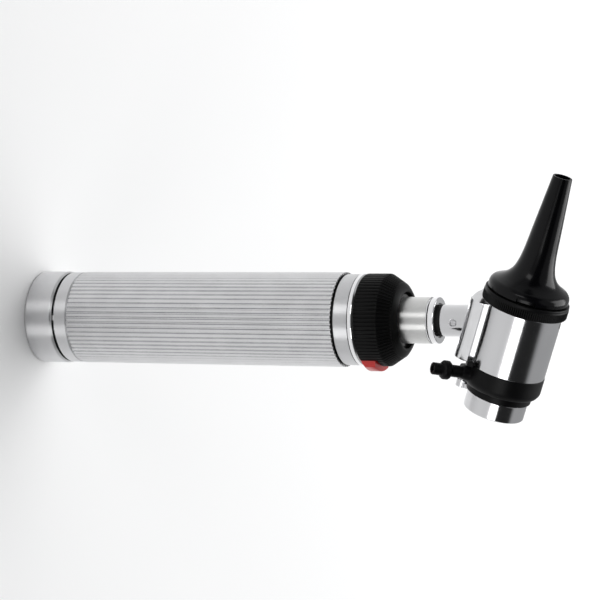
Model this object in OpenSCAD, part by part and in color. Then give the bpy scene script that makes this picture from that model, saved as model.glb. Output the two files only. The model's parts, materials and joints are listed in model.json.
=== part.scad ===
// Otoscope: a fluted battery handle with a rheostat ring, and a plated metal head
// with a speculum in front and a swivelling magnifier behind.
// Millimetres. The handle stands on its cap along +Z, centred on the Z axis.
// The speculum points towards -X and leans up from the horizontal by head_lean.
// Head parts are drawn in the head's own frame, which on_head() places: its Z runs
// along the speculum, its X away from the handle, and its Y is the object's Y.

/* [Handle] */
// Outer radius over the flutes
grip_r = 15; // [14.9:0.05:15.3]
// Number of flutes round the grip
flute_count = 60; // [48:1:64]
// Depth of one flute
flute_depth = 0.5; // [0.3:0.05:0.55]
// Radius of the bore that holds the cells
cell_bore_r = 13.5; // [13.4:0.05:13.6]
// Radius of the screw cap
cap_r = 15.15; // [15:0.05:15.4]
// Lead of the cap's thread
cap_lead = 1.5; // [1:0.25:1.5]
// Angle of the spanner notch in the cap seam, about Z
notch_angle = 259; // [0:1:359]

/* [Switch] */
// Radius of the rheostat ring over its knurl
ring_r = 14.6; // [14.5:0.05:14.7]
// Number of grooves in the rheostat ring's knurl
ring_knurls = 72; // [60:1:90]
// Angle of the lock button about Z
button_angle = 345; // [340:1:350]
// Width of the lock button across the ring
button_w = 12.2; // [8:0.1:12.4]
// Radius over the lock button's face
button_r = 16.2; // [15.8:0.1:16.4]

/* [Connector] */
// Outer radius of the connector sleeve
sleeve_r = 7.3; // [7.2:0.05:7.3]
// Radius of the sleeve's bore
socket_r = 5.3; // [5.28:0.01:5.32]
// Radius of the head's plug
plug_r = 5.22; // [5.2:0.01:5.24]
// Turn that unlocks the bayonet, in degrees
bayonet_turn = 36; // [30:1:40]
// Angle of the first bayonet pin about Z
pin_angle = 200; // [180:1:220]

/* [Head] */
// Height at which the speculum axis crosses the handle axis
head_z = 165; // [164.5:0.1:166]
// Rise of the speculum axis above the horizontal, in degrees
head_lean = 19.6; // [18:0.1:21]
// Outer radius of the head tube
tube_r = 12.28; // [12.2:0.01:12.3]
// Radius of the neck between the connector and the lamp housing
neck_r = 5; // [4.9:0.05:5.05]
// Half width of the lamp housing
housing_half_w = 9; // [8:0.1:9.5]
// Radius of the knurled release ring
release_r = 13.4; // [13.2:0.1:13.6]
// Number of grooves in the release ring's knurl
release_knurls = 120; // [90:1:140]

/* [Speculum] */
// Outer radius of the speculum's tip
tip_r = 3; // [2.8:0.05:3.2]
// Distance of the tip from the handle axis
tip_s = 47.2; // [44:0.1:48]
// Radius of the speculum's flange
flange_r = 12.65; // [12.5:0.05:12.7]

/* [Eyepiece] */
// Outer radius of the eyepiece ring
eyepiece_r = 9.6; // [9.4:0.05:9.65]
// Distance of the swivel axis from the speculum axis
pivot_u = 12.2; // [12.2:0.05:12.4]
// Angle of the hose nipple, from the handle side towards the viewer
nipple_angle = 39; // [35:1:45]
// Outer radius of the hose nipple
nipple_r = 1.9; // [1.8:0.05:2]

/* [Hidden] */
$fn = 96;
gap = 0.1;            // ordinary clearance between loose pieces
run = 0.06;           // radial clearance of a turning fit
eps = 0.01;           // overshoot of a cut past a face

// Stations along the handle, from the base upwards
cap_floor = 2.5;
end_disc_r = 12.5;     // disc pressed into the cap from below
seam_z = 9.7;
grip_z0 = seam_z + 0.4;
band_z1 = 14.8;
flute_z0 = 15.2;
flute_z1 = 107.9;
bezel_z0 = 113.4;
bezel_z1 = 115.4;
ring_z0 = bezel_z1 + 0.2;
ring_z1 = 123;
cone_z1 = 127.3;
lip_z1 = 128.7;
sleeve_z1 = 139.3;
neck_z0 = 140.5;
neck_z1 = 150.5;
plug_z0 = 127;

// The C cell that the bore is made for
cell_r = 13.1;
cell_h = 50;
cell_nub_r = 3;
cell_nub_h = 1.5;
cell_z0 = 10.5;

// Thread between the handle's neck and the skirt of the cap
thread_r = 14.3;
thread_z0 = 4.2;
thread_depth = 0.35;
thread_rings = [thread_z0 + 0.6:cap_lead:seam_z - 1.6];

// Button and the cavity behind it
button_z0 = ring_z0 + 0.15;
button_z1 = 120.9;
button_in_r = 12.1;
hub_r = 10.3;
cavity_r = 13.2;
cavity_z1 = 121.6;
hub_z0 = 118.2;
hub_z1 = 126.9;

// Bayonet
pin_r = 0.75;
pin_z = 133;
slot_r = 6.35;
slot_w = 2 * pin_r + 0.3;

// Stations along the speculum axis, from the handle axis forwards
body_s0 = -15.5;
body_s1 = 4.7;
tube_in_r = 11.2;
housing_s0 = -15.3;
housing_s1 = 4;
rear_s0 = -22.3;
collar_s0 = -24.66;
collar_r = 10.3;
eye_s0 = -30.35;
eye_s1 = collar_s0 - 0.14;
barrel_s0 = -26.4;
barrel_s1 = -23.9;
barrel_r = 1.75;
lug_s0 = -23.6;
nipple_s = -18.95;
nipple_len = 24.1;
lens_r = 9;

// ---- helpers ----

// Ring or tube between two radii and two heights
module tube(r_out, r_in, z0, z1) {
    translate([0, 0, z0]) difference() {
        cylinder(h = z1 - z0, r = r_out);
        translate([0, 0, -1]) cylinder(h = z1 - z0 + 2, r = r_in);
    }
}

module disc(r, z0, z1) translate([0, 0, z0]) cylinder(h = z1 - z0, r = r);

module lathe(points) rotate_extrude() polygon(points);

module on_head() {
    translate([0, 0, head_z]) rotate([0, head_lean - 90, 0]) children();
}

// Cylinder along a radius of the Z axis, at an angle and a height
module radial_rod(r, from, to, angle, z) {
    rotate([0, 0, angle]) translate([from, 0, z]) rotate([0, 90, 0])
        cylinder(h = to - from, r = r, $fn = 48);
}

// Wedge of the given angles, as tall as the stations
module wedge(a0, a1, reach, z0, z1) {
    steps = 6;
    translate([0, 0, z0]) linear_extrude(z1 - z0)
        polygon([[0, 0], for (i = [0:steps])
            let (a = a0 + (a1 - a0) * i / steps) reach * [cos(a), sin(a)]]);
}

// Outline with V grooves cut into a circle
function grooved(r, depth, count, land) = [for (i = [0:count - 1])
    let (a = 360 / count)
    each [r * [cos((i - land / 2) * a), sin((i - land / 2) * a)],
          r * [cos((i + land / 2) * a), sin((i + land / 2) * a)],
          (r - depth) * [cos((i + 0.5) * a), sin((i + 0.5) * a)]]];

// Round wire swept along a coil whose radius runs from r0 to r1 over height h
module coil(r0, r1, h, turns, wire_r, sides = 6, steps = 14) {
    n = ceil(turns * steps);
    function rad(t) = r0 + (r1 - r0) * t;
    points = [for (i = [0:n]) let (t = i / n, a = 360 * turns * t)
        for (j = [0:sides - 1]) let (b = 360 * j / sides, q = rad(t) + wire_r * cos(b))
            [q * cos(a), q * sin(a), wire_r + (h - 2 * wire_r) * t + wire_r * sin(b)]];
    walls = [for (i = [0:n - 1]) for (j = [0:sides - 1]) let (k = (j + 1) % sides)
        [i * sides + j, (i + 1) * sides + j, (i + 1) * sides + k, i * sides + k]];
    near = [[for (j = [0:sides - 1]) j]];
    far = [[for (j = [sides - 1:-1:0]) n * sides + j]];
    polyhedron(points, concat(near, walls, far), convexity = 8);
}

// ---- handle ----

module seam_notch(z0, z1) {
    rotate([0, 0, notch_angle]) translate([14.2, -0.75, z0]) cube([2, 1.5, z1 - z0]);
}

// Corners of the rings cut into a wall of radius r, from the base upwards
function thread_cuts(r, depth) = [for (z = thread_rings)
    each [[r, z], [r - depth, z + thread_depth], [r, z + 2 * thread_depth]]];

function reversed(list) = [for (i = [len(list) - 1:-1:0]) list[i]];

module bottom_cap() {
    skirt_r = thread_r + gap;
    color("silver") difference() {
        lathe(concat([[end_disc_r, 0], [cap_r - 0.6, 0], [cap_r, 0.6], [cap_r, seam_z - 0.9],
            [cap_r - 0.45, seam_z], [skirt_r, seam_z]],
            reversed(thread_cuts(skirt_r, -thread_depth)),
            [[skirt_r, cap_floor], [end_disc_r, cap_floor]]));
        seam_notch(seam_z - 0.7, seam_z + 0.2);
    }
}

module end_disc() {
    color("silver") disc(end_disc_r, 0, cap_floor);
}

module cap_plate() {
    color("goldenrod") disc(11.8, cap_floor + gap, cap_floor + 0.9);
}

module cap_spring() {
    color("lightgray") translate([0, 0, cap_floor + 0.95])
        coil(9.5, 4, cell_z0 - cap_floor - 1.0, 4, 0.55);
}

module handle_tube() {
    core_r = 14.35;
    relief_r = 13.85;
    color("silver") difference() {
        union() {
            lathe(concat([[cell_bore_r, thread_z0], [thread_r - 0.3, thread_z0],
                [thread_r, thread_z0 + 0.3]], thread_cuts(thread_r, thread_depth),
                [[thread_r, seam_z - 0.5], [relief_r, seam_z - 0.3], [relief_r, grip_z0],
                [14.55, grip_z0], [14.85, grip_z0 + 0.4], [14.85, band_z1], [core_r, band_z1 + 0.3],
                [core_r, bezel_z0], [cell_bore_r, bezel_z0]]));
            translate([0, 0, flute_z0]) linear_extrude(flute_z1 - flute_z0) difference() {
                polygon(grooved(grip_r, flute_depth, flute_count, 0.55));
                circle(r = cell_bore_r);
            }
        }
        seam_notch(grip_z0 - 0.2, grip_z0 + 0.7);
    }
}

module battery(z) {
    can_h = cell_h - cell_nub_h;
    color("dimgray") union() {
        lathe([[0, z + 0.1], [9, z + 0.1], [9, z + 0.4], [cell_r - 0.4, z + 0.4], [cell_r, z + 0.8],
            [cell_r, z + can_h - 0.5], [cell_r - 0.5, z + can_h], [cell_nub_r, z + can_h],
            [cell_nub_r, z + cell_h], [0, z + cell_h]]);
    }
}

module battery_lower() battery(cell_z0);

module battery_upper() battery(cell_z0 + cell_h);

module battery_contact() {
    z = cell_z0 + 2 * cell_h + 0.05;
    color("goldenrod") lathe([[0, z], [2.6, z], [2.6, z + 1.0], [1.2, z + 1.0], [1.2, z + 2.8],
        [0, z + 2.8]]);
}

module front_bezel() {
    inner_r = 12.6;
    color("silver") lathe([[inner_r, 109], [cell_bore_r - 0.02, 109], [cell_bore_r - 0.02, bezel_z0 + eps],
        [14.35, bezel_z0 + eps], [14.6, bezel_z0 + 0.35], [14.6, bezel_z1 - 0.5], [14.2, bezel_z1],
        [inner_r, bezel_z1]]);
}

module front_insulator() {
    color("black") tube(12.55, sleeve_r + 0.05, 113.05, bezel_z1);
}

// Resistance strip: an open ring under the wiper
module rheostat_track() {
    color("saddlebrown") difference() {
        tube(10, 8.2, bezel_z1, bezel_z1 + 0.9);
        wedge(172, 232, 20, bezel_z1 - 1, bezel_z1 + 2);
    }
}

module connector_sleeve() {
    step_z = 126.9;
    lead_in = 0.4;
    color("silver") difference() {
        lathe([[3.2, 111.6], [12.5, 111.6], [12.5, 113], [sleeve_r, 113],
            [sleeve_r, 126.95], [sleeve_r - 0.3, 126.95], [sleeve_r - 0.3, 127.65], [sleeve_r, 127.65],
            [sleeve_r, 137.2], [sleeve_r - 0.35, 137.2], [sleeve_r - 0.35, 137.6], [sleeve_r, 137.6],
            [sleeve_r, sleeve_z1 - 0.25], [sleeve_r - 0.25, sleeve_z1], [socket_r + lead_in, sleeve_z1],
            [socket_r, sleeve_z1 - lead_in], [socket_r, step_z], [3.2, step_z]]);
        for (side = [0, 180]) {
            rotate([0, 0, pin_angle + bayonet_turn + side])
                translate([0, -slot_w / 2, pin_z - slot_w / 2])
                    cube([slot_r, slot_w, sleeve_z1 - pin_z + slot_w]);
            intersection() {
                disc(slot_r, pin_z - slot_w / 2, pin_z + slot_w / 2);
                rotate([0, 0, pin_angle + side])
                    wedge(-10, bayonet_turn + 9, 12, pin_z - slot_w, pin_z + slot_w);
            }
        }
    }
}

module contact_insulator() {
    color("white") lathe([[1.25, 111.7], [3.15, 111.7], [3.15, 126.8], [1.25, 126.8],
        [1.25, 124.5], [2.3, 124.5], [2.3, 113.5], [1.25, 113.5]]);
}

module contact_spring() {
    color("lightgray") translate([0, 0, 113.55]) coil(1.85, 1.85, 9.95, 7, 0.25, 5, 10);
}

module centre_contact() {
    color("goldenrod") lathe([[0, 114.5], [1.15, 114.5], [1.15, 123.55], [2.15, 123.55], [2.15, 124.45],
        [1.15, 124.45], [1.15, 128.3], [0.7, 128.8], [0, 128.8]]);
}

module circlip() {
    color("dimgray") difference() {
        tube(8.1, sleeve_r - 0.28, 127, 127.6);
        wedge(-12, 12, 20, 126, 129);
    }
}

module rheostat_ring() {
    color("black") difference() {
        union() {
            lathe([[cavity_r, ring_z0], [ring_r - 0.45, ring_z0], [ring_r - 0.45, ring_z1],
                [11.8, cone_z1], [11, 127.9], [10.2, 128.4], [9.5, lip_z1], [8.9, 128.5],
                [8.9, hub_z1], [sleeve_r + run, hub_z1], [sleeve_r + run, hub_z0], [hub_r, hub_z0],
                [hub_r, cavity_z1], [cavity_r, cavity_z1]]);
            translate([0, 0, ring_z0]) linear_extrude(ring_z1 - ring_z0) difference() {
                polygon(grooved(ring_r, 0.4, ring_knurls, 0.5));
                circle(r = cavity_r + 0.5);
            }
        }
        rotate([0, 0, button_angle]) translate([0, -button_w / 2 - gap, ring_z0 - 1])
            translate([11, 0, 0]) cube([6, button_w + 2 * gap, button_z1 + gap - ring_z0 + 1]);
    }
}

module wiper() {
    color("goldenrod") union() {
        intersection() {
            tube(10, 8.4, bezel_z1 + 1.0, bezel_z1 + 1.3);
            wedge(190, 225, 20, 110, 125);
        }
        intersection() {
            tube(10, 8.4, bezel_z1 + 1.0, hub_z0);
            wedge(215, 225, 20, 110, 125);
        }
    }
}

module button_spring() {
    color("lightgray") rotate([0, 0, button_angle])
        translate([hub_r + 0.03, 0, (button_z0 + button_z1) / 2]) rotate([0, 90, 0])
            coil(1.1, 1.1, button_in_r - hub_r - 0.06, 2.5, 0.17, 5, 12);
}

module lock_button() {
    flange_w = 13.4;
    face = button_w / 2;
    color("red") intersection() {
        rotate([0, 0, button_angle]) union() {
            translate([0, -face, 0]) cube([20, button_w, 150]);
            intersection() {
                translate([0, -flange_w / 2, 0]) cube([20, flange_w, 150]);
                disc(cavity_r - gap, 0, 150);
            }
        }
        lathe([[button_in_r, button_z0], [button_r - 0.9, button_z0], [button_r, button_z0 + 0.7],
            [button_r, button_z1 - 0.4], [button_r - 0.4, button_z1], [button_in_r, button_z1]]);
    }
}

// ---- head, on the handle axis ----

module neck_tube() {
    bore_r = 3.45;
    color("silver") difference() {
        lathe([[bore_r, plug_z0], [plug_r - 0.4, plug_z0], [plug_r, plug_z0 + 0.5], [plug_r, 138.7],
            [4.4, 138.7], [4.4, neck_z0], [neck_r - 0.3, neck_z0], [neck_r, neck_z0 + 0.3],
            [neck_r, neck_z1], [bore_r, neck_z1]]);
        for (side = [0, 180]) radial_rod(pin_r, 0, 8, pin_angle + side, pin_z);
        radial_rod(0.9, 0, 8, 266, 145);
        on_head() disc(tube_r + 0.02, -30, 10);
    }
}

module bayonet_pins() {
    color("lightgray") for (side = [0, 180]) radial_rod(pin_r, 3.6, 6.1, pin_angle + side, pin_z);
}

module neck_seal() {
    color("black") tube(4.95, 4.42, 138.75, neck_z0 - 0.05);
}

module neck_screw() {
    color("dimgray") difference() {
        radial_rod(0.88, 3.5, 4.75, 266, 145);
        rotate([0, 0, 266]) translate([4.4, -0.12, 144]) cube([1, 0.24, 2]);
    }
}

module lamp_base() {
    color("goldenrod") union() {
        tube(3.2, 1.5, 130, 138.5);
        disc(3.2, 137.9, 138.5);
        tube(3.4, 3.1, 134, 134.8);
        lathe([[0, 129], [1, 129], [1.2, 129.4], [1.2, 131.5], [0, 131.5]]);
    }
}

module lamp_insulator() {
    color("ivory") tube(1.48, 1.22, 129.6, 131.4);
}

module lamp_bulb() {
    color("lightblue") union() {
        disc(2.6, 138.55, 145.5);
        translate([0, 0, 145.5]) sphere(r = 2.6);
    }
}

// ---- head, along the speculum axis ----

// Plan of the lamp housing: a shallow arc outside, rounded corners, and a seat on the tube
module housing_plan() {
    corner = 2.4;
    half = housing_half_w - corner;
    difference() {
        intersection() {
            translate([4, 0]) circle(r = 20, $fn = 128);
            union() {
                translate([-16.2 + corner, -housing_half_w]) square([12, 2 * housing_half_w]);
                translate([-16.2, -half]) square([14, 2 * half]);
                for (side = [-1, 1]) translate([-16.2 + corner, side * half]) circle(r = corner);
            }
        }
        circle(r = tube_r + 0.02);
        translate([-4, -20]) square([20, 40]);
    }
}

module lamp_housing() {
    color("silver") difference() {
        on_head() translate([0, 0, housing_s0]) linear_extrude(housing_s1 - housing_s0) housing_plan();
        disc(neck_r + 0.02, 140, neck_z1 + 0.05);
        disc(3.45, 140, 160);
    }
}

module head_tube() {
    color("silver") difference() {
        on_head() union() {
            tube(tube_r, tube_in_r, body_s0, body_s1);
            tube(11.2 + eps, 10.6, 2.4, body_s1);
        }
        disc(3.45, 140, 160);
        on_head() radial_rod(0.6, 10, 14, 0, 2.9);
    }
}

module mirror_bracket() {
    color("black") on_head() intersection() {
        translate([-11.6, -2, -6.2]) cube([4, 4, 0.8]);
        disc(tube_in_r, -10, 0);
    }
}

module light_mirror() {
    color("white") on_head() translate([-8.6, -2.5, -4.93]) rotate([0, 35, 0])
        cube([0.8, 5, 4.6]);
}

module nose_cone() {
    color("black") on_head() lathe([[5.6, 12.9], [6.5, 13.5], [8, 12.4], [10, 11.2], [11.4, 10.6],
        [11.4, 8.7], [11.9, 8.7], [11.9, 6.5], [11.25, 6.5], [11.25, body_s1 + 0.05],
        [10.5, body_s1 + 0.05], [10.5, 2.6], [9.8, 2.6], [9.8, 9.6]]);
}

module ring_screw() {
    color("dimgray") on_head() difference() {
        radial_rod(0.58, 11.3, 12.1, 0, 2.9);
        translate([11.8, -0.6, 2.8]) cube([1, 1.2, 0.2]);
    }
}

module release_ring() {
    ring_s0 = body_s1 + 0.1;
    ring_s1 = 8.8;
    color("black") on_head() union() {
        lathe([[11.35, ring_s0 + 0.1], [release_r - 0.35, ring_s0 + 0.1], [release_r - 0.35, ring_s1],
            [11.9 + run, ring_s1], [11.9 + run, 6.4], [11.35, 6.4]]);
        translate([0, 0, ring_s0 + 0.1]) linear_extrude(3.2) difference() {
            polygon(grooved(release_r, 0.25, release_knurls, 0.5));
            circle(r = release_r - 1);
        }
    }
}

module speculum() {
    base_s = 9;
    outer = [[12.35, base_s], [flange_r, base_s + 0.25], [flange_r, 10.6], [12.4, 11.3], [11.9, 11.9],
        [10.7, 12.55], [8.95, 13.6], [7.5, 14.85], [6.4, 16.4], [5.6, 19], [5.1, 22.5],
        [4.35, 31.8], [3.6, 40.4], [tip_r, tip_s]];
    inner = [[tip_r - 0.55, tip_s], [2.95, 40.4], [3.55, 31.8], [4.25, 22.3], [4.75, 18.6], [5.6, 15.9],
        [6.8, 14.1], [8.2, 12.9], [10.2, 11.7], [11.5, 11], [11.5, base_s]];
    color("black") on_head() difference() {
        lathe(concat(outer, inner));
        wedge(270, 295, 20, base_s - 1, 10.4);
        radial_rod(0.45, 12.2, 14, 222.7, 9.9);
    }
}

module rear_housing() {
    color("black") on_head() difference() {
        union() {
            lathe([[10.4, -12.6], [11.15, -12.6], [11.15, body_s0 - 0.05], [12.4, body_s0 - 0.05],
                [12.4, rear_s0 + 0.6], [12, rear_s0], [collar_r, rear_s0], [collar_r, collar_s0 + 0.3],
                [collar_r - 0.3, collar_s0], [8.8, collar_s0], [8.8, -23], [10.4, -21.4]]);
            translate([-pivot_u, 0, lug_s0]) cylinder(h = 4.1, r = 2);
            difference() {
                translate([-9.7, -10.7, body_s0 - 0.3]) cube([2, 1.55, 2.3]);
                disc(tube_r + 0.05, body_s0 - 0.05, body_s0 + 5);
            }
        }
        disc(10.4, -21.4, 0);
        disc(8.8, -30, -20);
        translate([-pivot_u, 0, -30]) cylinder(h = 11, r = 0.82);
        radial_rod(nipple_r, 0, 20, 180 + nipple_angle, nipple_s);
        tube(9.7, 9, collar_s0 - 1, collar_s0 + 0.6);
    }
}

module hose_nipple() {
    collar = 2.95;
    lead_in = 0.2;
    color("black") on_head() translate([0, 0, nipple_s]) rotate([0, 0, 180 + nipple_angle])
        rotate([0, 90, 0]) lathe([[1, 10.9], [nipple_r, 10.9], [nipple_r, 18], [collar - 0.5, 18.2],
            [collar, 18.8], [collar, 20.4], [collar - 0.5, 21], [nipple_r, 21.1],
            [nipple_r, nipple_len - lead_in], [nipple_r - lead_in, nipple_len], [1, nipple_len]]);
}

module lens_seal() {
    color("black") on_head() tube(9.65, 9.05, collar_s0 - 0.06, collar_s0 + 0.55);
}

module pivot_washer() {
    color("dimgray") on_head() translate([-pivot_u, 0, 0]) tube(1.6, 0.9, barrel_s1 + 0.05, lug_s0 - 0.05);
}

module pivot_screw() {
    color("silver") on_head() translate([-pivot_u, 0, 0]) difference() {
        union() {
            disc(0.8, -25.7, -19.6);
            disc(1.3, -26.3, -25.65);
        }
        translate([-2, -0.15, -26.5]) cube([4, 0.3, 0.5]);
    }
}

module eyepiece_ring() {
    seat_s = -27.6;
    color("silver") on_head() difference() {
        union() {
            lathe([[8.3, eye_s0], [eyepiece_r - 0.4, eye_s0], [eyepiece_r, eye_s0 + 0.4],
                [eyepiece_r, eye_s1], [lens_r + 0.05, eye_s1], [lens_r + 0.05, seat_s], [8.3, seat_s]]);
            translate([-pivot_u, 0, barrel_s0]) cylinder(h = barrel_s1 - barrel_s0, r = barrel_r);
            difference() {
                translate([-pivot_u, -1.2, barrel_s0]) cube([3.2, 2.4, 1.5]);
                disc(lens_r + 0.3, -30, -20);
            }
        }
        translate([-pivot_u, 0, -30]) cylinder(h = 10, r = 0.8 + run);
        translate([-pivot_u, 0, -30]) cylinder(h = 4.4, r = 1.35);
    }
}

module lens() {
    curve_r = 35;
    top_s = -24.95;
    color("lightcyan") on_head() intersection() {
        disc(lens_r, -27.55, top_s + 1);
        translate([0, 0, top_s - curve_r]) sphere(r = curve_r, $fn = 128);
    }
}

module lens_clip() {
    color("black") on_head() tube(lens_r + 0.03, 8.35, -25.85, -25.3);
}

bottom_cap();
end_disc();
cap_plate();
cap_spring();
handle_tube();
battery_lower();
battery_upper();
battery_contact();
front_bezel();
front_insulator();
rheostat_track();
connector_sleeve();
contact_insulator();
contact_spring();
centre_contact();
circlip();
rheostat_ring();
wiper();
button_spring();
lock_button();
neck_tube();
bayonet_pins();
neck_seal();
neck_screw();
lamp_base();
lamp_insulator();
lamp_bulb();
lamp_housing();
head_tube();
mirror_bracket();
light_mirror();
nose_cone();
ring_screw();
release_ring();
speculum();
rear_housing();
hose_nipple();
lens_seal();
pivot_washer();
pivot_screw();
eyepiece_ring();
lens();
lens_clip();
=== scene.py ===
"""Finishes, fine shapes, light and camera for the otoscope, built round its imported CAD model.

Sizes are in millimetres inside the classes and become metres when a mesh is made.
"""

import json
import logging
import math
from collections.abc import Callable, Sequence
from dataclasses import dataclass, field
from enum import Enum

import bmesh
import bpy
import numpy as np
from mathutils import Matrix, Vector


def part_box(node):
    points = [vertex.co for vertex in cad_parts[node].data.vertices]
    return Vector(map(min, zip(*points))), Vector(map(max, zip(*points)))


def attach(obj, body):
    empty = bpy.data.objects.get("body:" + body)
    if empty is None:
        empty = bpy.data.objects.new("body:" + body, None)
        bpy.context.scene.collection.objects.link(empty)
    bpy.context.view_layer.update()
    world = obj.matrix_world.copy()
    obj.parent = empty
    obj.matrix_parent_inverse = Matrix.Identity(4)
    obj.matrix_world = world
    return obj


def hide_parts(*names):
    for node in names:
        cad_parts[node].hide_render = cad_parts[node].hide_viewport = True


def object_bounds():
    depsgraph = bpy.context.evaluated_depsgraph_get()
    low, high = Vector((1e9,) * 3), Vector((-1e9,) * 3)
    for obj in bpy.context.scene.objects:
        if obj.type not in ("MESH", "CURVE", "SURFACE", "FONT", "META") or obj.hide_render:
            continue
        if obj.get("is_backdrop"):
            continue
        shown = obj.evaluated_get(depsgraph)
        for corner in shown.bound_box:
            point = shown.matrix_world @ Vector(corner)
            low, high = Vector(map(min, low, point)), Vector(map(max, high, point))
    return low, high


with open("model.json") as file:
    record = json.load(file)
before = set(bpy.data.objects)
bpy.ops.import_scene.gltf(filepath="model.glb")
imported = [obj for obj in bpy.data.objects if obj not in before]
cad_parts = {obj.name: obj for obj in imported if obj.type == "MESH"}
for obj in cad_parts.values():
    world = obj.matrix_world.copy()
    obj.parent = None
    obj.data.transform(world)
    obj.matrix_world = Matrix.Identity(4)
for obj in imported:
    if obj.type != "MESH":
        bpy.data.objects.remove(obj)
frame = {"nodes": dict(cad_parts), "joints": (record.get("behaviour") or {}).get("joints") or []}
CAD_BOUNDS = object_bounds()

LOG = logging.getLogger("otoscope")
MM = 0.001

Relief = Callable[[np.ndarray, float, float], np.ndarray]
Corner = tuple[float, ...]


# ---------------------------------------------------------------- shader maths


class ShaderMath:
    """A number socket whose arithmetic adds Math nodes to its node tree."""

    def __init__(self, net: "NodeNet", socket: bpy.types.NodeSocket) -> None:
        """Wraps a socket.

        Args:
            net: The node tree that new nodes go into.
            socket: The output socket that holds the value.
        """
        self.net = net
        self.socket = socket

    def _math(self, operation: str, *operands: "ShaderMath | float") -> "ShaderMath":
        """Adds one Math node.

        Args:
            operation: The Math node's operation.
            *operands: Values or wrapped sockets, in socket order.

        Returns:
            The node's output, wrapped.
        """
        node = self.net.add("ShaderNodeMath", {"operation": operation}, dict(enumerate(operands)))
        return ShaderMath(self.net, node.outputs[0])

    def __add__(self, other: "ShaderMath | float") -> "ShaderMath":
        """Sum."""
        return self._math("ADD", self, other)

    __radd__ = __add__

    def __sub__(self, other: "ShaderMath | float") -> "ShaderMath":
        """Difference."""
        return self._math("SUBTRACT", self, other)

    def __rsub__(self, other: float) -> "ShaderMath":
        """Difference from a plain number."""
        return self._math("SUBTRACT", other, self)

    def __mul__(self, other: "ShaderMath | float") -> "ShaderMath":
        """Product."""
        return self._math("MULTIPLY", self, other)

    __rmul__ = __mul__

    def __truediv__(self, other: "ShaderMath | float") -> "ShaderMath":
        """Quotient."""
        return self._math("DIVIDE", self, other)

    def stepped(self, low: float, high: float) -> "ShaderMath":
        """Smooth step from 0 to 1.

        Args:
            low: Value at which the result is 0.
            high: Value at which the result is 1.

        Returns:
            The eased value, wrapped.
        """
        settings = {"interpolation_type": "SMOOTHSTEP"}
        sockets = {"Value": self, "From Min": low, "From Max": high}
        node = self.net.add("ShaderNodeMapRange", settings, sockets)
        return ShaderMath(self.net, node.outputs[0])


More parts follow.
